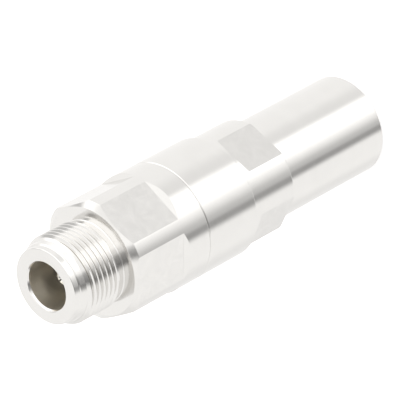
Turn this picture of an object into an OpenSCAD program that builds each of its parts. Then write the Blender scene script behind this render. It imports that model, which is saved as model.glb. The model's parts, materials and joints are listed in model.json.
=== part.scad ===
// Coaxial N jack for a clamped feeder cable.
// The connector stands on its tail end: origin at the centre of the tail face, +Z towards the threaded nose.
// All lengths are in millimetres.

/* [Nose] */
// Major diameter of the 5/8-24 coupling thread
thread_d = 15.84; // [15.70:0.01:15.85]
// Length of the full thread, left as a plain cylinder at its major diameter (pitch 1.058)
thread_len = 6.35; // [5.5:0.05:6.4]
// Length of the nose from the wrench face to the front face
nose_len = 10.95; // [10.9:0.05:11.4]
// Outer diameter of the front face
nose_face_d = 13.44; // [13.3:0.02:13.6]
// Diameter of the smooth pilot ahead of the thread
pilot_d = 14.62; // [14.5:0.02:14.7]
// Diameter of the relief behind the thread
relief_d = 14.80; // [14.6:0.05:15.0]
// Diameter of the mouth bore
mouth_d = 8.10; // [8.03:0.01:8.13]
// Outer diameter of the mouth chamfer
mouth_chamfer_d = 9.24; // [8.8:0.02:9.4]
// Depth of the mouth bore, from the front face to the reference plane
mouth_depth = 9.10; // [9.04:0.01:9.19]
// Inner diameter of the outer line behind the reference plane
line_d = 7.00; // [6.9:0.05:7.1]

/* [Front body] */
// Diameter of the front body and of the barrel of the nut
body_d = 21.90; // [21.8:0.05:22.2]
// Distance across the six wrench flats
front_af = 20.10; // [20.0:0.05:20.2]
// Length of the round collar behind the flats
collar_len = 5.70; // [5.5:0.1:6.0]
// Length from the seam to the wrench face
front_len = 17.35; // [17.2:0.05:18.0]
// Direction of the first flat of the front body
front_phase = 23.4; // [0:0.1:59.9]

/* [Rear nut] */
// Diameter of the tail sleeve
tail_d = 18.06; // [18.0:0.02:18.3]
// Length of the tail sleeve
tail_len = 24.85; // [24.70:0.05:26.0]
// Diameter of the wrench section
wrench_d = 20.60; // [20.5:0.05:20.8]
// Distance across the four wrench flats
rear_af = 19.0; // [18.9:0.05:19.2]
// Length of the wrench section
wrench_len = 10.25; // [10.2:0.05:10.6]
// Length of the flats at full depth, from the tail end of the wrench section
flat_len = 8.45; // [7.9:0.05:8.5]
// Length of the barrel, from the wrench section to the seam
barrel_len = 11.7; // [11.6:0.05:12.0]
// Diameter of the cable bore
cable_d = 14.20; // [14.0:0.05:14.4]

/* [Nut thread] */
// Major diameter of the thread between nut and front body
nut_thread_d = 18.40; // [18.3:0.05:18.4]
// Radial running clearance of plain turned fits
run = 0.05; // [0.03:0.01:0.06]
// Diameter of the seal land in the mouth of the nut
land_d = 19.40; // [19.3:0.02:19.4]

/* [Contact] */
// Diameter of the socket contact
contact_d = 3.04; // [3.0:0.01:3.1]
// Diameter of the pin hole in the socket contact
pin_hole_d = 1.65; // [1.6:0.01:1.7]
// Depth of the contact tip behind the front face
tip_depth = 4.05; // [3.9:0.01:4.3]
// Width of the slots in the contact fingers
slot_w = 0.28; // [0.2:0.02:0.34]
// Diameter of the rear collet of the contact
rear_contact_d = 5.40; // [5.2:0.1:5.6]
// Diameter of the cable's inner conductor hole
inner_hole_d = 3.65; // [3.6:0.05:3.8]

/* [Clamp and seals] */
// Outer diameter of the clamp collet
clamp_d = 14.60; // [14.5:0.02:14.6]
// Inner diameter of the clamp collet
clamp_bore_d = 12.50; // [12.4:0.05:12.7]
// Number of clamp fingers
clamp_slots = 8; // [6:1:10]
// Thickness of the seam O-ring
o_ring_t = 1.36; // [1.3:0.02:1.36]
// Thickness of the tail O-ring
tail_ring_t = 1.30; // [1.2:0.02:1.34]

/* [Hidden] */
fine = 144;
plated = [0.80, 0.79, 0.78];
silvered = [0.86, 0.86, 0.85];
ptfe = [0.93, 0.93, 0.91];
black_rubber = [0.09, 0.09, 0.09];

// stations along the axis, from the tail face
z_wrench = tail_len;
z_barrel = z_wrench + wrench_len;
z_seam = z_barrel + barrel_len;
z_foot = z_seam + collar_len;
z_face = z_seam + front_len;
z_front = z_face + nose_len;
z_ref = z_front - mouth_depth;
z_tip = z_front - tip_depth;

body_r = body_d / 2;
wrench_r = wrench_d / 2;
tail_r = tail_d / 2;
thread_r = thread_d / 2;
cable_r = cable_d / 2;
groove_r = 8.05;           // floor of the tail O-ring's groove
z_groove = 3.6;            // foot of that groove
groove_w = 1.7;
lead_in = 0.23;            // how far the mouth bore opens out behind its chamfer

// rear nut, inside
gasket_r = 8.0;            // gasket chamber
z_gasket = z_wrench - 2.5; // foot of the gasket chamber
z_ring = z_barrel - 1.2;   // shoulder that the thrust ring sits on
ring_r = 8.6;              // chamber of the thrust ring and the clamp's flange
z_thread = z_ring + 2.7;   // start of the internal thread
z_land = z_seam - 3.0;     // start of the seal land

// front body, inside
cavity_r = clamp_d / 2 + 0.1;
z_cavity = z_seam - 0.3;   // front end of the clamp cavity
bead_bore_r = 6.55;
z_bush = z_seam + 10.2;    // front end of the bush bore
z_bead = z_bush + 3.3;     // front end of the front bead's bore
front_bead_r = 4.35;
z_spigot = z_ring + 3.3;   // rear end of the threaded spigot

// turned ring or tube from a list of [r, z] points
module turned(pts) { rotate_extrude($fn = fine) polygon(pts); }

// one milled wrench flat: a plane at distance h with a 45 degree run-out at its foot.
// up = 1 runs out downwards below z0 and is open above z1; up = -1 is its mirror
module flat_cut(h, z0, z1, reach, up = 1) {
    rotate([90, 0, 0])
        linear_extrude(height = 40, center = true)
            polygon(up > 0
                ? [[h, z0], [h, z1], [h + reach, z1], [h + reach, z0 - reach]]
                : [[h, z1], [h, z0], [h + reach, z0], [h + reach, z1 + reach]]);
}

// radial slots through a tube wall, from z0 to z1
module slots(n, w, r, z0, z1, phase = 0) {
    for (k = [0 : n - 1])
        rotate([0, 0, phase + 360 / n * k])
            translate([0, -w / 2, z0])
                cube([r, w, z1 - z0]);
}

module rear_nut() {
    c = 0.12;
    color(plated)
    difference() {
        turned([
            [cable_r + 0.3, 0], [tail_r - 0.2, 0], [tail_r, 0.2], [tail_r, z_wrench],
            [wrench_r - 0.15, z_wrench], [wrench_r, z_wrench + 0.15],
            [wrench_r, z_barrel], [body_r - c, z_barrel], [body_r, z_barrel + c],
            [body_r, z_seam - c], [body_r - c, z_seam],
            [land_d / 2 + run + 0.15, z_seam], [land_d / 2 + run, z_seam - 0.15], [land_d / 2 + run, z_land],
            [nut_thread_d / 2 + run, z_land - 0.4], [nut_thread_d / 2 + run, z_thread],
            [ring_r, z_thread - 0.4], [ring_r, z_ring], [gasket_r, z_ring],
            [gasket_r, z_gasket], [cable_r, z_gasket],
            [cable_r, z_groove + groove_w], [groove_r, z_groove + groove_w],
            [groove_r, z_groove], [cable_r, z_groove], [cable_r, 0.3]
        ]);
        for (k = [0 : 3])
            rotate([0, 0, 90 * k])
                flat_cut(rear_af / 2, z_wrench - 0.5, z_wrench + flat_len, 2, -1);
    }
}

module tail_o_ring() {
    color(black_rubber)
        translate([0, 0, z_groove + groove_w / 2])
            rotate_extrude($fn = fine)
                translate([groove_r - 0.03 - tail_ring_t / 2, 0])
                    circle(d = tail_ring_t, $fn = 40);
}

// the gasket has shallow grooves inside and lips that bear on the jacket
module jacket_gasket() {
    z0 = z_gasket + 0.05;
    z1 = z_ring - 1.25;
    ri = cable_r + 0.05;
    n = 4;
    p = (z1 - z0) / n;
    color(black_rubber)
        turned(concat(
            [[gasket_r - 0.04, z0], [gasket_r - 0.04, z1]],
            [for (k = [n - 1 : -1 : 0], s = [0 : 3])
                [ri + (s == 1 || s == 2 ? 0.3 : 0), z0 + p * k + p * [0.85, 0.65, 0.35, 0.15][s]]]
        ));
}

module seal_washer() {
    color(plated)
        turned([[cable_r + 0.1, z_ring - 1.2], [gasket_r - 0.05, z_ring - 1.2],
                [gasket_r - 0.05, z_ring - 0.08], [cable_r + 0.1, z_ring - 0.08]]);
}

module thrust_ring() {
    color(plated)
        turned([[cable_r + 0.05, z_ring + 0.02], [ring_r - 0.05, z_ring + 0.02], [ring_r - 0.05, z_ring + 1.1],
                [ring_r - 0.2, z_ring + 1.25], [cable_r + 0.25, z_ring + 1.25], [cable_r + 0.05, z_ring + 1.05]]);
}

// slotted from the front; the flange at its foot is trapped between the thrust ring and the spigot
module clamp_collet() {
    z0 = z_ring + 1.35;
    z1 = z_cavity - 2.2;
    ri = clamp_bore_d / 2;
    color(plated)
    difference() {
        turned([
            [ri + 0.3, z0], [ring_r - 0.15, z0], [ring_r - 0.15, z0 + 1.15], [clamp_d / 2, z0 + 1.15],
            [clamp_d / 2, z1 - 2.9], [ri + 0.6, z1 - 2.9], [ri + 0.6, z1 - 1.8], [clamp_d / 2, z1 - 1.8],
            [clamp_d / 2, z1 - 0.9], [ri + 0.35, z1], [ri, z1 - 0.35],
            [ri, z0 + 6.4], [ri + 0.25, z0 + 6.0], [ri + 0.25, z0 + 4.4], [ri, z0 + 4.0], [ri, z0 + 0.3]
        ]);
        slots(clamp_slots, 0.8, 12, z0 + 2.2, z1 + 1, 11);
    }
}

// split spring ring that holds the clamp's fingers together
module clamp_spring() {
    ri = clamp_bore_d / 2 + 0.62;
    z0 = z_cavity - 2.2 - 2.8;
    color(plated)
    difference() {
        turned([[ri, z0], [clamp_d / 2 - 0.02, z0], [clamp_d / 2 - 0.02, z0 + 0.9], [ri, z0 + 0.9]]);
        rotate([0, 0, 33]) translate([0, -0.5, z0 - 1]) cube([10, 1.0, 3]);
    }
}

// its rear cone receives the flared outer conductor, its front spigot holds the rear bead
module flare_ring() {
    z0 = z_cavity - 1.75;
    color(plated)
        turned([
            [4.9, z0 + 1.0], [5.4, z0 + 1.0], [7.0, z0], [cavity_r - 0.03, z0], [cavity_r - 0.03, z_cavity - 0.05],
            [bead_bore_r - 0.03, z_cavity - 0.05], [bead_bore_r - 0.03, z_cavity + 0.75], [4.9, z_cavity + 0.75]
        ]);
}

module seam_o_ring() {
    color(black_rubber)
        translate([0, 0, z_seam - 1.1])
            rotate_extrude($fn = fine)
                translate([land_d / 2 + run - 0.03 - o_ring_t / 2, 0])
                    circle(d = o_ring_t, $fn = 40);
}

module front_body() {
    seal_r = land_d / 2 - o_ring_t - 0.03;
    tr = nut_thread_d / 2;
    lr = land_d / 2;
    z_thr = z_face + 1.65;
    z_full = z_thr + thread_len;
    pr = pilot_d / 2;
    fr = nose_face_d / 2;
    mr = mouth_d / 2;
    color(plated)
    difference() {
        turned([
            // threaded spigot and seal land
            [cavity_r + 0.2, z_spigot], [tr - 0.5, z_spigot], [tr, z_spigot + 0.5], [tr, z_land - 0.5],
            [tr - 0.55, z_land - 0.2], [tr - 0.55, z_land + 0.5], [lr, z_land + 0.8],
            [lr, z_seam - 1.85], [seal_r, z_seam - 1.85], [seal_r, z_seam - 0.35], [lr, z_seam - 0.35],
            // collar and wrench section
            [lr, z_seam + 0.04], [body_r - 0.12, z_seam + 0.04], [body_r, z_seam + 0.16],
            [body_r, z_face - 0.82], [front_af / 2 - 0.27, z_face],
            // relief, thread, pilot and front face
            [relief_d / 2 + 0.15, z_face], [relief_d / 2, z_face + 0.15], [relief_d / 2, z_thr - 0.45],
            [thread_r, z_thr], [thread_r, z_full], [pr, z_full + 0.61], [pr - 0.21, z_full + 1.7],
            [pr - 0.41, z_full + 1.9], [fr + 0.07, z_front - 0.12], [fr, z_front],
            // mouth, reference plane and line bore
            [mouth_chamfer_d / 2, z_front], [mr + lead_in, z_front - 0.42],
            [mr, z_front - 2.6], [mr, z_ref],
            [line_d / 2 + 0.1, z_ref], [line_d / 2, z_ref - 0.1], [line_d / 2, z_bead],
            // bead bore, bush bore and clamp cavity
            [front_bead_r, z_bead], [front_bead_r, z_bush], [bead_bore_r, z_bush],
            [bead_bore_r, z_cavity], [cavity_r, z_cavity], [cavity_r, z_spigot + 0.2]
        ]);
        for (k = [0 : 5])
            rotate([0, 0, front_phase + 60 * k])
                flat_cut(front_af / 2, z_foot, z_face + 2, 3, 1);
    }
}

// front half of the centre contact: four fingers, a neck for the bead and a stub that screws into the rear half
module socket_contact() {
    r = contact_d / 2;
    h = pin_hole_d / 2;
    color(silvered)
    difference() {
        turned([
            [0, z_bush - 3.2], [0.85, z_bush - 3.2], [0.95, z_bush - 3.1], [0.95, z_bush + 0.02],
            [1.25, z_bush + 0.02], [1.25, z_bead], [r, z_bead],
            [r, z_tip - 0.25], [r - 0.18, z_tip], [h + 0.2, z_tip], [h, z_tip - 0.22],
            [h, z_tip - 7.2], [0, z_tip - 7.6]
        ]);
        slots(4, slot_w, 3, z_tip - 6.4, z_tip + 1, 75);
    }
}

// rear half of the centre contact: four fingers for the inner conductor, held by the spring ring
module contact_collet() {
    r = rear_contact_d / 2;
    h = inner_hole_d / 2;
    z1 = z_bush - 0.02;
    zf = z_cavity + 0.8;   // flange face that the rear bead sits on
    z0 = z_seam - 7.4;
    color(silvered)
    difference() {
        turned([
            [h + 0.3, z0], [r - 0.25, z0], [r, z0 + 0.25], [r, z0 + 1.1], [r - 0.4, z0 + 1.1], [r - 0.4, z0 + 2.1],
            [r, z0 + 2.1], [r, zf], [2.1, zf], [2.1, zf + 3.0], [1.9, zf + 3.0], [1.9, z1],
            [0.98, z1], [0.98, z1 - 3.4], [0, z1 - 3.7], [0, zf - 0.4], [h, zf - 0.8], [h, z0 + 0.3]
        ]);
        slots(4, 0.5, 4, z0 - 1, z0 + 5.2, 45);
    }
}

module collet_spring() {
    r = rear_contact_d / 2;
    z0 = z_seam - 6.25;
    color(plated)
    difference() {
        turned([[r - 0.37, z0], [r + 0.02, z0], [r + 0.02, z0 + 0.9], [r - 0.37, z0 + 0.9]]);
        rotate([0, 0, 8]) translate([0, -0.35, z0 - 1]) cube([5, 0.7, 3]);
    }
}

module front_bead() {
    color(ptfe)
        turned([[1.28, z_bush + 0.06], [front_bead_r - 0.04, z_bush + 0.06], [front_bead_r - 0.04, z_bead - 0.05],
                [3.0, z_bead - 0.05], [2.7, z_bead - 0.5], [2.1, z_bead - 0.5], [1.8, z_bead - 0.05], [1.28, z_bead - 0.05]]);
}

module bead_bush() {
    ro = bead_bore_r - 0.02;
    z0 = z_cavity + 3.95;
    color(plated)
        turned([[4.37, z0], [ro - 0.2, z0], [ro, z0 + 0.2], [ro, z_bush - 0.1], [3.7, z_bush - 0.1],
                [3.7, z_bush - 0.8], [4.37, z_bush - 1.3]]);
}

module rear_bead() {
    ro = bead_bore_r - 0.04;
    z0 = z_cavity + 0.82;
    z1 = z_cavity + 3.85;
    zm = (z0 + z1) / 2;
    color(ptfe)
        turned([[2.14, z0], [ro, z0], [ro, zm - 0.6], [5.55, zm - 0.6], [5.55, zm + 0.6], [ro, zm + 0.6],
                [ro, z1], [3.9, z1], [3.5, z1 - 0.6], [2.7, z1 - 0.6], [2.3, z1], [2.14, z1]]);
}

module bead_o_ring() {
    color(black_rubber)
        translate([0, 0, z_cavity + (0.82 + 3.85) / 2])
            rotate_extrude($fn = fine)
                translate([6.05, 0])
                    circle(r = 0.47, $fn = 32);
}

rear_nut();
tail_o_ring();
jacket_gasket();
seal_washer();
thrust_ring();
clamp_collet();
clamp_spring();
flare_ring();
seam_o_ring();
front_body();
socket_contact();
contact_collet();
collet_spring();
front_bead();
bead_bush();
rear_bead();
bead_o_ring();
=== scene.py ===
import json
import math

import bmesh
import bpy
from mathutils import Matrix, Vector


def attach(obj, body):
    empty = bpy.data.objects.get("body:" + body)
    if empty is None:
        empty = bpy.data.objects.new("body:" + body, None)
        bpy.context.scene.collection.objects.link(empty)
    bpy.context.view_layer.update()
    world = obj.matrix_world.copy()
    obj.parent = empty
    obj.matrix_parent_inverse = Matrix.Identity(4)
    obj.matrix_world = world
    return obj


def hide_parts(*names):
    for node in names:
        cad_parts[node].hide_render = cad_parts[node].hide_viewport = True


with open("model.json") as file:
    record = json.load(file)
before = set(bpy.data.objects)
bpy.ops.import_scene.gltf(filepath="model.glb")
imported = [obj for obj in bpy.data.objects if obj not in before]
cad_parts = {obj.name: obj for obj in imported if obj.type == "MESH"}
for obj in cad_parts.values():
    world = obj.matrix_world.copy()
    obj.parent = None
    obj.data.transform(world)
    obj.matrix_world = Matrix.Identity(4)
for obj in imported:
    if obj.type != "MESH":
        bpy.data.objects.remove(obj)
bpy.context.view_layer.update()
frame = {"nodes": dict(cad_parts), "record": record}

scene = bpy.context.scene

# ---------------------------------------------------------------- sizes, in millimetres, as in the CAD
MM = 0.001
SEG = 288

TAIL_R = 9.03
WRENCH_R = 10.3
BODY_R = 10.95
REAR_H = 9.5
FRONT_H = 10.05
FRONT_PHASE = 23.4
CABLE_R = 7.1

Z_WRENCH = 24.85
Z_BARREL = 35.1
Z_SEAM = 46.8
Z_FOOT = 52.5
Z_FACE = 64.15
Z_FRONT = 75.1
Z_REF = 66.0
Z_RING = 33.9
Z_THREAD = 36.6
Z_LAND = 43.8
Z_CAVITY = 46.5
Z_SPIGOT = 37.2
Z_BUSH = 57.0
Z_BEAD = 60.3
Z_GASKET = 22.35

THREAD_R = 7.92
THREAD_P = 25.4 / 24
RELIEF_R = 7.40
PILOT_R = 7.28
Z_THR = 65.8
Z_FULL = 72.15

NUT_THREAD_R = 9.2
NUT_P = 1.0


# ---------------------------------------------------------------- mesh helpers
def eased(outline, amount=0.05, least=25.0):
    """The outline with its corners broken by a small facet; only corners sharper than least degrees."""
    out = []
    n = len(outline)
    for i, (r, z) in enumerate(outline):
        a, b = Vector(outline[i - 1]), Vector(outline[(i + 1) % n])
        p = Vector((r, z))
        if r < 1e-6 or (p - a).length < 1e-6 or (b - p).length < 1e-6:
            out.append((r, z))
            continue
        turn = (p - a).angle(b - p)
        if math.degrees(turn) < least:
            out.append((r, z))
            continue
        back = min(amount, 0.3 * (p - a).length, 0.3 * (b - p).length)
        q0 = p - (p - a).normalized() * back
        q1 = p + (b - p).normalized() * back
        out.append((q0.x, q0.y))
        out.append((q1.x, q1.y))
    return out


def lathe(outline, seg=SEG):
    """Vertices and faces of a closed (r, z) outline turned about Z."""
    verts, faces, rows = [], [], []
    for r, z in outline:
        if r < 1e-6:
            rows.append([len(verts)] * seg)
            verts.append((0.0, 0.0, z * MM))
        else:
            rows.append(list(range(len(verts), len(verts) + seg)))
            for j in range(seg):
                a = 2 * math.pi * j / seg
                verts.append((r * math.cos(a) * MM, r * math.sin(a) * MM, z * MM))
    for i in range(len(outline)):
        lo, hi = rows[i], rows[(i + 1) % len(outline)]
        if lo[0] == lo[-1] and hi[0] == hi[-1]:
            continue
        for j in range(seg):
            k = (j + 1) % seg
            face = []
            for v in (lo[j], lo[k], hi[k], hi[j]):
                if v not in face:
                    face.append(v)
            if len(face) > 2:
                faces.append(face)
    return verts, faces


def helix(z0, z1, pitch, profile, shape, seg=SEG, phase=0.0):
    """Thread surface between the planes z0 and z1. profile is (place within a pitch, radius); shape(r, z) trims it."""
    k = len(profile)
    turns = int(math.ceil((z1 - z0) / pitch)) + 3
    count = turns * k
    verts, index = [], {}
    for j in range(seg):
        a = 2 * math.pi * j / seg
        for m in range(count):
            q, r = profile[m % k]
            z = z0 - 1.5 * pitch + (m // k + q + j / seg + phase) * pitch
            z = min(max(z, z0), z1)
            r = shape(r, z)
            index[j, m] = len(verts)
            verts.append((r * math.cos(a) * MM, r * math.sin(a) * MM, z * MM))
    faces = []
    for j in range(seg):
        last = j == seg - 1
        for m in range(count - 1 - (k if last else 0)):
            if last:
                faces.append([index[j, m], index[0, m + k], index[0, m + k + 1], index[j, m + 1]])
            else:
                faces.append([index[j, m], index[j + 1, m], index[j + 1, m + 1], index[j, m + 1]])
    keep = []
    for f in faces:
        zs = [verts[v][2] for v in f]
        if max(zs) - min(zs) > 1e-9:
            keep.append(f)
    return verts, keep


def make(name, verts, faces):
    mesh = bpy.data.meshes.new(name)
    mesh.from_pydata(verts, [], faces)
    mesh.validate()
    obj = bpy.data.objects.new(name, mesh)
    scene.collection.objects.link(obj)
    return obj


def prisms(name, polygon, angles, half):
    """One object made of equal prisms: an (x, z) polygon, wide by 2 * half in y, turned to each angle."""
    verts, faces = [], []
    n = len(polygon)
    for ang in angles:
        base = len(verts)
        c, s = math.cos(math.radians(ang)), math.sin(math.radians(ang))
        for y in (-half, half):
            for x, z in polygon:
                verts.append(((x * c - y * s) * MM, (x * s + y * c) * MM, z * MM))
        faces.append([base + i for i in range(n)])
        faces.append([base + n + i for i in reversed(range(n))])
        for i in range(n):
            j = (i + 1) % n
            faces.append([base + j, base + i, base + n + i, base + n + j])
    obj = make(name, verts, faces)
    bm = bmesh.new()
    bm.from_mesh(obj.data)
    bmesh.ops.recalc_face_normals(bm, faces=bm.faces)
    bm.to_mesh(obj.data)
    bm.free()
    return obj


def cut(obj, cutter):
    m = obj.modifiers.new("cut", "BOOLEAN")
    m.operation = "DIFFERENCE"
    m.solver = "EXACT"
    m.object = cutter
    bpy.context.view_layer.update()
    dg = bpy.context.evaluated_depsgraph_get()
    mesh = bpy.data.meshes.new_from_object(obj.evaluated_get(dg))
    obj.modifiers.clear()
    old = obj.data
    obj.data = mesh
    mesh.name = old.name
    bpy.data.meshes.remove(old)
    bpy.data.objects.remove(cutter)


def swap_band(obj, z0, z1, r_lo, r_hi, verts, faces):
    """Replaces the plain band between two rings of a turned mesh by a thread surface, and welds it in."""
    bm = bmesh.new()
    bm.from_mesh(obj.data)
    gone = []
    for f in bm.faces:
        ok = True
        for v in f.verts:
            z = v.co.z / MM
            r = math.hypot(v.co.x, v.co.y) / MM
            if not (z0 - 1e-4 <= z <= z1 + 1e-4 and r_lo <= r <= r_hi):
                ok = False
                break
        if ok:
            gone.append(f)
    bmesh.ops.delete(bm, geom=gone, context="FACES")
    made = [bm.verts.new(v) for v in verts]
    bm.verts.ensure_lookup_table()
    for f in faces:
        bm.faces.new([made[i] for i in f])
    bmesh.ops.remove_doubles(bm, verts=bm.verts, dist=1e-6)
    bmesh.ops.dissolve_degenerate(bm, edges=bm.edges, dist=1e-8)
    loose = [v for v in bm.verts if not v.link_faces]
    bmesh.ops.delete(bm, geom=loose, context="VERTS")
    bm.to_mesh(obj.data)
    bm.free()
    obj.data.update()


def finish_mesh(obj, body, mats, sharp=12.0, stands_for=()):
    """Smooth shading with crisp edges; parent, slot and materials."""
    mesh = obj.data
    mesh.materials.clear()
    for m in mats:
        mesh.materials.append(m)
    for p in mesh.polygons:
        p.use_smooth = True
    mesh.set_sharp_from_angle(angle=math.radians(sharp))
    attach(obj, body)
    if stands_for:
        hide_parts(*stands_for)


def paint_flats(obj, h, phase, count, z0, z1, index):
    """Gives material index to the milled faces: planes at distance h whose normal lies across the axis."""
    for p in obj.data.polygons:
        z = p.center.z / MM
        if not z0 <= z <= z1:
            continue
        for k in range(count):
            a = math.radians(phase + 360 / count * k)
            n = Vector((math.cos(a), math.sin(a), 0))
            if p.normal.dot(n) > 0.9999 and abs(p.center.dot(n) / MM - h) < 0.01:
                p.material_index = index


# ---------------------------------------------------------------- materials
def new_material(name):
    mat = bpy.data.materials.new(name)
    mat.use_nodes = True
    nt = mat.node_tree
    nt.nodes.clear()
    out = nt.nodes.new("ShaderNodeOutputMaterial")
    bsdf = nt.nodes.new("ShaderNodeBsdfPrincipled")
    nt.links.new(bsdf.outputs["BSDF"], out.inputs["Surface"])
    return mat, nt, bsdf


def node(nt, kind, **values):
    n = nt.nodes.new(kind)
    for key, value in values.items():
        setattr(n, key, value)
    return n


def math_node(nt, op, a, b=None, c=None, clamp=False):
    n = nt.nodes.new("ShaderNodeMath")
    n.operation = op
    n.use_clamp = clamp
    for i, v in enumerate((a, b, c)):
        if v is None:
            continue
        if isinstance(v, (int, float)):
            n.inputs[i].default_value = v
        else:
            nt.links.new(v, n.inputs[i])
    return n.outputs[0]


def ramp(nt, fac, stops):
    n = nt.nodes.new("ShaderNodeValToRGB")
    n.color_ramp.interpolation = "LINEAR"
    els = n.color_ramp.elements
    while len(els) < len(stops):
        els.new(0.5)
    for e, (pos, col) in zip(els, stops):
        e.position = pos
        e.color = (*col, 1) if len(col) == 3 else col
    nt.links.new(fac, n.inputs["Fac"])
    return n.outputs["Color"]


def turned_coords(nt):
    """(radius, z) of the point: what a lathe tool's marks depend on."""
    tc = nt.nodes.new("ShaderNodeTexCoord")
    sep = nt.nodes.new("ShaderNodeSeparateXYZ")
    nt.links.new(tc.outputs["Object"], sep.inputs[0])
    x2 = math_node(nt, "MULTIPLY", sep.outputs["X"], sep.outputs["X"])
    y2 = math_node(nt, "MULTIPLY", sep.outputs["Y"], sep.outputs["Y"])
    r = math_node(nt, "SQRT", math_node(nt, "ADD", x2, y2))
    comb = nt.nodes.new("ShaderNodeCombineXYZ")
    nt.links.new(r, comb.inputs["X"])
    nt.links.new(sep.outputs["Z"], comb.inputs["Y"])
    return tc.outputs["Object"], comb.outputs[0]


def noise(nt, vec, scale, detail=2.0, rough=0.5, dims="3D", distortion=0.0):
    n = nt.nodes.new("ShaderNodeTexNoise")
    n.noise_dimensions = dims
    n.inputs["Scale"].default_value = scale
    n.inputs["Detail"].default_value = detail
    n.inputs["Roughness"].default_value = rough
    n.inputs["Distortion"].default_value = distortion
    nt.links.new(vec, n.inputs["Vector"])
    return n.outputs["Fac"]


def bump(nt, height, strength, distance, normal=None):
    n = nt.nodes.new("ShaderNodeBump")
    n.inputs["Strength"].default_value = strength
    n.inputs["Distance"].default_value = distance
    nt.links.new(height, n.inputs["Height"])
    if normal is not None:
        nt.links.new(normal, n.inputs["Normal"])
    return n.outputs["Normal"]


def plated_turned(name, colour, rough=(0.07, 0.13), marks=0.05):
    mat, nt, b = new_material(name)
    obj, rz = turned_coords(nt)
    patches = noise(nt, obj, 260.0, 3.0, 0.6)
    fine = noise(nt, rz, 22000.0, 3.0, 0.65, "2D")
    wide = noise(nt, rz, 2600.0, 2.0, 0.5, "2D")
    b.inputs["Metallic"].default_value = 1.0
    lo = tuple(c * 0.985 for c in colour)
    hi = tuple(min(1.0, c * 1.008) for c in colour)
    nt.links.new(ramp(nt, patches, [(0.30, lo), (0.70, hi)]), b.inputs["Base Color"])
    mr = nt.nodes.new("ShaderNodeMapRange")
    mr.inputs["From Min"].default_value = 0.25
    mr.inputs["From Max"].default_value = 0.75
    mr.inputs["To Min"].default_value = rough[0]
    mr.inputs["To Max"].default_value = rough[1]
    nt.links.new(wide, mr.inputs["Value"])
    nt.links.new(mr.outputs["Result"], b.inputs["Roughness"])
    n1 = bump(nt, fine, marks, 0.00002)
    nt.links.new(n1, b.inputs["Normal"])
    return mat


def plated_milled(name, colour, rough=(0.09, 0.20)):
    """Flats: faint overlapping arcs of a milling cutter."""
    mat, nt, b = new_material(name)
    tc = nt.nodes.new("ShaderNodeTexCoord")
    obj = tc.outputs["Object"]
    patches = noise(nt, obj, 420.0, 4.0, 0.65, distortion=0.6)
    b.inputs["Metallic"].default_value = 1.0
    lo = tuple(c * 0.955 for c in colour)
    hi = tuple(min(1.0, c * 1.025) for c in colour)
    nt.links.new(ramp(nt, patches, [(0.32, lo), (0.68, hi)]), b.inputs["Base Color"])
    mr = nt.nodes.new("ShaderNodeMapRange")
    mr.inputs["From Min"].default_value = 0.3
    mr.inputs["From Max"].default_value = 0.7
    mr.inputs["To Min"].default_value = rough[0]
    mr.inputs["To Max"].default_value = rough[1]
    nt.links.new(patches, mr.inputs["Value"])
    nt.links.new(mr.outputs["Result"], b.inputs["Roughness"])
    stretch = nt.nodes.new("ShaderNodeMapping")
    stretch.inputs["Scale"].default_value = (500.0, 500.0, 5000.0)
    nt.links.new(obj, stretch.inputs["Vector"])
    lines = noise(nt, stretch.outputs[0], 1.0, 3.0, 0.6)
    n1 = bump(nt, lines, 0.45, 0.00001)
    n2 = bump(nt, patches, 0.03, 0.00002, n1)
    nt.links.new(n2, b.inputs["Normal"])
    return mat


def plastic(name, lo, hi, rough, scale, marks):
    mat, nt, b = new_material(name)
    obj, rz = turned_coords(nt)
    patches = noise(nt, obj, scale, 3.0, 0.55)
    fine = noise(nt, rz, 9000.0, 2.0, 0.6, "2D")
    nt.links.new(ramp(nt, patches, [(0.3, lo), (0.7, hi)]), b.inputs["Base Color"])
    b.inputs["Roughness"].default_value = rough
    nt.links.new(bump(nt, fine, marks, 0.00003), b.inputs["Normal"])
    return mat


PLATE = (0.800, 0.792, 0.778)
plated = plated_turned("plated_brass", PLATE, (0.09, 0.15), 0.10)
milled = plated_milled("plated_brass_milled", PLATE)
silver = plated_turned("contact_silver", (0.87, 0.86, 0.83), (0.10, 0.18), 0.04)
spring = plated_turned("spring_steel", (0.50, 0.50, 0.51), (0.22, 0.34), 0.05)
# thread roots: rougher plating, and a darker colour which is painted shade in the valleys
painted_root_shade = plated_turned("plated_brass_root_painted_shade", (0.42, 0.40, 0.36), (0.30, 0.42), 0.10)
bore = plated_turned("plated_brass_bore", (0.86, 0.82, 0.74), (0.30, 0.42), 0.30)
ptfe = plastic("ptfe", (0.86, 0.86, 0.84), (0.93, 0.93, 0.91), 0.42, 500.0, 0.15)
rubber = plastic("seal_rubber", (0.018, 0.018, 0.019), (0.035, 0.035, 0.036), 0.55, 700.0, 0.35)

BY_SLOT = {
    "plated_brass": plated,
    "contact_silver": silver,
    "spring_steel": spring,
    "ptfe": ptfe,
    "seal_rubber": rubber,
}
for entry in frame["record"]["subparts"]:
    cad = frame["nodes"][entry["node"]]
    cad.data.materials.clear()
    cad.data.materials.append(BY_SLOT[entry["material_slot"]])

# ---------------------------------------------------------------- front body
UN = [
    (0.000, 7.275), (0.085, 7.262), (0.170, 7.275), (0.205, 7.335), (0.290, 7.490), (0.375, 7.645),
    (0.455, 7.795), (0.510, 7.892), (0.535, 7.920), (0.632, 7.920), (0.657, 7.892), (0.712, 7.795),
    (0.792, 7.645), (0.877, 7.490), (0.962, 7.335),
]
TZ0, TZ1 = 65.20, 72.90


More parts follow.
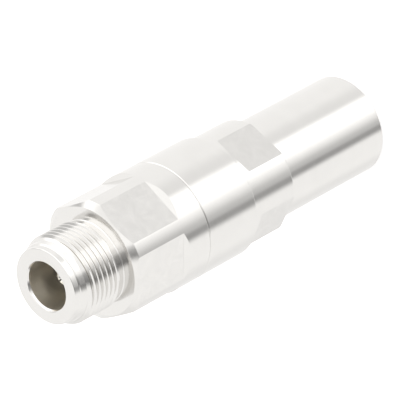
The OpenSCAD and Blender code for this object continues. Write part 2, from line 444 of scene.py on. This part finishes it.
def nose_trim(r, z):
    """Relief at the foot, 45 degree chamfers at both ends of the thread."""
    if z <= 65.30:
        return RELIEF_R
    if z >= 72.80:
        return 7.30 - 0.21 * (z - 72.80) / 1.05
    env = THREAD_R
    if z < Z_THR + 0.06:
        env = min(env, RELIEF_R + (z - 65.30) * (THREAD_R - RELIEF_R) / (Z_THR + 0.06 - 65.30))
    if z > Z_FULL:
        env = min(env, THREAD_R - (z - Z_FULL) * (THREAD_R - 7.30) / (72.80 - Z_FULL))
    low = 7.262
    if z > 72.62:
        low = 7.262 + (7.30 - 7.262) * (z - 72.62) / 0.18
    if z < 65.50:
        low = RELIEF_R + (7.262 - RELIEF_R) * (z - 65.30) / 0.20
    return min(max(r, low), env)


def spigot_trim(r, z):
    if z <= 37.62:
        return 8.72 + (z - 37.2) * 0.48 / 0.42 if z < 37.62 else 9.2
    return r


NZ0, NZ1 = 37.70, 43.25
MET = [
    (0.00, 8.62), (0.10, 8.60), (0.20, 8.62), (0.26, 8.73), (0.36, 8.90), (0.46, 9.07), (0.535, 9.185),
    (0.56, 9.20), (0.66, 9.20), (0.685, 9.185), (0.76, 9.07), (0.86, 8.90), (0.96, 8.73),
]


def spigot_shape(r, z):
    """External thread of the spigot, fading into a plain core at both ends."""
    env = 9.20
    if z < NZ0 + 0.45:
        env = 8.70 + (z - NZ0) * 0.50 / 0.45
    low = 8.60
    if z > NZ1 - 0.10:
        low = 8.60 + (8.65 - 8.60) * (z - NZ1 + 0.10) / 0.10
        env = 8.65 + (NZ1 - z) * (9.2 - 8.65) / 0.10
    if z < NZ0 + 0.12:
        low = 8.70 - (z - NZ0) * 0.10 / 0.12
    return min(max(r, low), env)


front_outline = eased([
    (7.60, Z_SPIGOT), (8.45, Z_SPIGOT), (8.70, 37.45), (8.70, NZ0), (8.65, NZ1), (8.65, 44.3), (9.70, 44.6),
    (9.70, 44.95), (8.31, 44.95), (8.31, 46.45), (9.70, 46.45), (9.70, 46.84),
    (BODY_R - 0.12, 46.84), (BODY_R, 46.96),
    (BODY_R, Z_FACE - 0.82), (9.78, Z_FACE),
    (RELIEF_R + 0.15, Z_FACE), (RELIEF_R, Z_FACE + 0.15), (RELIEF_R, TZ0), (7.279, TZ1),
    (7.10, 73.85), (6.90, 74.05), (6.79, 74.98), (6.72, Z_FRONT),
    (4.62, Z_FRONT), (4.47, 75.00), (4.28, 74.68), (4.05, 72.50), (4.05, Z_REF), (3.60, Z_REF), (3.50, 65.9), (3.50, Z_BEAD),
    (4.35, Z_BEAD), (4.35, Z_BUSH), (6.55, Z_BUSH), (6.55, Z_CAVITY), (7.40, Z_CAVITY), (7.40, 37.4),
], 0.04)
front_body = make("front_body_shell", *lathe(front_outline))
cut(front_body, prisms(
    "front_flats",
    [(FRONT_H, Z_FOOT), (FRONT_H, Z_FACE + 0.5), (FRONT_H + 1.2, Z_FACE + 0.5), (FRONT_H + 1.2, Z_FOOT - 1.2)],
    [FRONT_PHASE + 60 * k for k in range(6)], 5.2))
swap_band(front_body, TZ0, TZ1, 7.0, 8.0, *helix(TZ0, TZ1, THREAD_P, UN, nose_trim, phase=0.10))
swap_band(front_body, NZ0, NZ1, 8.5, 9.3, *helix(NZ0, NZ1, NUT_P, MET, spigot_shape))
finish_mesh(front_body, "front", [plated, milled, painted_root_shade, bore], stands_for=("front_body",))
paint_flats(front_body, FRONT_H, FRONT_PHASE, 6, Z_FOOT - 0.1, Z_FACE + 0.1, 1)
# the thread roots get the darker root material, which is painted shade in the valleys; the bore gets the bore material
for p in front_body.data.polygons:
    r, z = math.hypot(p.center.x, p.center.y) / MM, p.center.z / MM
    if 65.7 < z < 72.5 and 7.2 < r < 7.37:
        p.material_index = 2
    elif r < 4.30 and Z_BEAD < z < 74.66:
        p.material_index = 3

# ---------------------------------------------------------------- rear nut
nut_outline = eased([
    (CABLE_R + 0.30, 0.0), (TAIL_R - 0.20, 0.0), (TAIL_R, 0.20), (TAIL_R, Z_WRENCH),
    (WRENCH_R - 0.15, Z_WRENCH), (WRENCH_R, Z_WRENCH + 0.15),
    (WRENCH_R, Z_BARREL), (BODY_R - 0.12, Z_BARREL), (BODY_R, Z_BARREL + 0.12),
    (BODY_R, Z_SEAM - 0.12), (BODY_R - 0.12, Z_SEAM),
    (9.90, Z_SEAM), (9.75, Z_SEAM - 0.15), (9.75, Z_LAND),
    (9.25, Z_LAND - 0.4), (9.25, Z_THREAD), (8.60, Z_THREAD - 0.4), (8.60, Z_RING), (8.00, Z_RING),
    (8.00, Z_GASKET), (CABLE_R, Z_GASKET), (CABLE_R, 5.3), (8.05, 5.3), (8.05, 3.6), (CABLE_R, 3.6),
    (CABLE_R, 0.30),
], 0.04)
rear_nut = make("rear_nut_shell", *lathe(nut_outline))
cut(rear_nut, prisms(
    "rear_flats",
    [(REAR_H, 33.30), (REAR_H, 24.0), (REAR_H + 1.2, 24.0), (REAR_H + 1.2, 34.50)],
    [90 * k for k in range(4)], 4.6))
finish_mesh(rear_nut, "nut", [plated, milled], stands_for=("rear_nut",))
paint_flats(rear_nut, REAR_H, 0.0, 4, 24.7, 33.5, 1)

# ---------------------------------------------------------------- floor
bm = bmesh.new()
bmesh.ops.create_circle(bm, cap_ends=True, segments=96, radius=3.0)
for v in bm.verts:
    v.co.z = -0.00003
mesh = bpy.data.meshes.new("floor")
bm.to_mesh(mesh)
bm.free()
floor = bpy.data.objects.new("floor", mesh)
scene.collection.objects.link(floor)
mat, nt, b = new_material("floor_white")
tc = nt.nodes.new("ShaderNodeTexCoord")
soft = noise(nt, tc.outputs["Object"], 3.0, 1.0)
nt.links.new(ramp(nt, soft, [(0.3, (0.90, 0.90, 0.90)), (0.7, (0.92, 0.92, 0.92))]), b.inputs["Base Color"])
b.inputs["Roughness"].default_value = 0.9
b.inputs["Specular IOR Level"].default_value = 0.0
b.inputs["Emission Color"].default_value = (1, 1, 1, 1)
b.inputs["Emission Strength"].default_value = 0.35
mesh.materials.append(mat)
floor.visible_glossy = False

# ---------------------------------------------------------------- camera, at the photograph's viewing angle
F_PX = 4263.9
K = 1.0025
A0 = Vector((25.180, -13.245, 746.20)) * K
d = Vector((-0.67330, 0.36628, -0.64226)).normalized()
u = Vector((0.0, 0.0, -1.0))
u = (u - d * u.dot(d)).normalized()
v = d.cross(u)
THETA = -116.4
pa, pb = math.radians(-THETA), math.radians(90.0 - THETA)
e_x = u * math.cos(pa) + v * math.sin(pa)
e_y = u * math.cos(pb) + v * math.sin(pb)
M = Matrix((e_x, e_y, d)).transposed()  # object to camera (X right, Y down, Z forward)
Mt = M.transposed()
right, down, ahead = Mt @ Vector((1, 0, 0)), Mt @ Vector((0, 1, 0)), Mt @ Vector((0, 0, 1))
cam_data = bpy.data.cameras.new("camera")
cam_data.sensor_width = 36.0
cam_data.lens = F_PX * 36.0 / 400.0
cam_data.clip_start, cam_data.clip_end = 0.01, 20.0
cam = bpy.data.objects.new("camera", cam_data)
scene.collection.objects.link(cam)
rot = Matrix((right, -down, -ahead)).transposed()
cam.matrix_world = Matrix.Translation(-(Mt @ A0) * MM) @ rot.to_4x4()
scene.camera = cam

# ---------------------------------------------------------------- light: a soft surround
scene.view_settings.view_transform = "Standard"
world = bpy.data.worlds.new("studio")
scene.world = world
world.use_nodes = True
nt = world.node_tree
nt.nodes.clear()
out = nt.nodes.new("ShaderNodeOutputWorld")
tc = nt.nodes.new("ShaderNodeTexCoord")
sep = nt.nodes.new("ShaderNodeSeparateXYZ")
nt.links.new(tc.outputs["Generated"], sep.inputs[0])
deg = 180 / math.pi
az = math_node(nt, "MULTIPLY", math_node(nt, "ARCTAN2", sep.outputs["Y"], sep.outputs["X"]), deg)
az = math_node(nt, "SUBTRACT", az, THETA)                 # measured from the camera's side
az = math_node(nt, "WRAP", az, 180.0, -180.0)
el = math_node(nt, "MULTIPLY", math_node(nt, "ARCSINE", sep.outputs["Z"]), deg)


def edge(value, a, b):
    """0 below a, 1 above b, smooth between."""
    n = nt.nodes.new("ShaderNodeMapRange")
    n.interpolation_type = "SMOOTHSTEP"
    n.inputs["From Min"].default_value, n.inputs["From Max"].default_value = a, b
    nt.links.new(value, n.inputs["Value"])
    return n.outputs["Result"]


def panel(az_lo, az_hi, el_lo, el_hi, soft, soft_hi=None):
    """A soft-edged panel of the surround: 1 inside, 0 outside."""
    w = math_node(nt, "MULTIPLY", edge(az, az_lo - soft, az_lo), edge(az, az_hi + (soft_hi or soft), az_hi))
    h = math_node(nt, "MULTIPLY", edge(el, el_lo - 12, el_lo), edge(el, el_hi + 12, el_hi))
    return math_node(nt, "MULTIPLY", w, h)


def lit(light, where, gain):
    return math_node(nt, "ADD", light, math_node(nt, "MULTIPLY", where, gain))


def shaded(light, where, cut):
    return math_node(nt, "MULTIPLY", light, math_node(nt, "SUBTRACT", 1.0, math_node(nt, "MULTIPLY", where, cut)))


# a white surround with a low window, a tall window, an overhead light, one tall grey card with a darker strip in it, a
# shorter one beside it, a small one and two faint ones
light = lit(1.09, panel(4, 26, -90, -22, 22, 14), 0.45)
light = lit(light, panel(8, 110, -16, 38, 14), 0.5)
light = lit(light, edge(el, 60, 75), 0.15)
light = shaded(light, panel(-48, -34, -90, 75, 12, 22), 0.42)
light = shaded(light, panel(-46, -42, -90, 75, 8), 0.36)
light = shaded(light, panel(-40, -20, -14, 66, 8, 12), 0.50)
light = shaded(light, panel(122, 134, 28, 42, 8), 0.42)
light = shaded(light, panel(42, 48, -90, -12, 10, 30), 0.13)
light = shaded(light, panel(-150, -130, -90, 20, 30), 0.12)
bg = nt.nodes.new("ShaderNodeBackground")
bg.inputs["Color"].default_value = (1.0, 0.99, 0.975, 1)
nt.links.new(light, bg.inputs["Strength"])
plain = nt.nodes.new("ShaderNodeBackground")
plain.inputs["Color"].default_value = (1, 1, 1, 1)
lp = nt.nodes.new("ShaderNodeLightPath")
mix = nt.nodes.new("ShaderNodeMixShader")
nt.links.new(lp.outputs["Is Camera Ray"], mix.inputs["Fac"])
nt.links.new(bg.outputs[0], mix.inputs[1])
nt.links.new(plain.outputs[0], mix.inputs[2])
nt.links.new(mix.outputs[0], out.inputs["Surface"])
